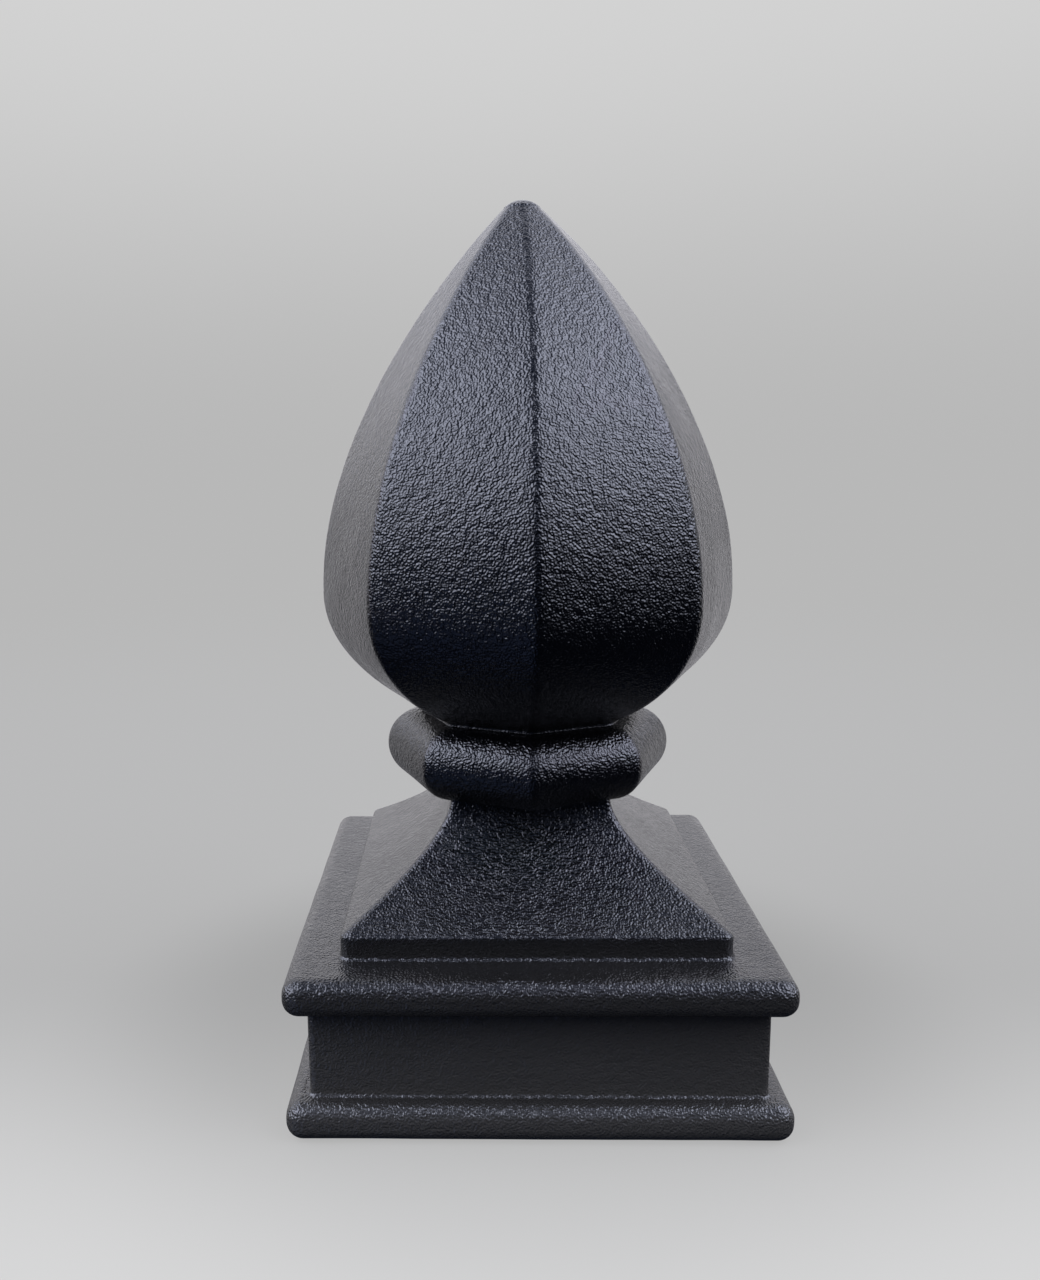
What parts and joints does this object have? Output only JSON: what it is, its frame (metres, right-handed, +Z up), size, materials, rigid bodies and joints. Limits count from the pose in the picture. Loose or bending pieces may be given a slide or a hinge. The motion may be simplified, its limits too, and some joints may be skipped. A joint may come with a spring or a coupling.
{
  "type": "post cap finial",
  "caption": "Cast cap for a square post: hollow square base with two flanges, flared neck, bead and an eight-sided pointed bud.",
  "frame": {"origin": "centre of the underside, at the foot of the lower flange", "axes": "+Z up the axis to the bud's tip; the sides of the square base face X and Y"},
  "size_m": [0.1258, 0.1258, 0.2331],
  "materials": {
    "powder_coat": "satin"
  },
  "bodies": {
    "root": {"post_cap_casting": "powder_coat"}
  },
  "joints": []
}
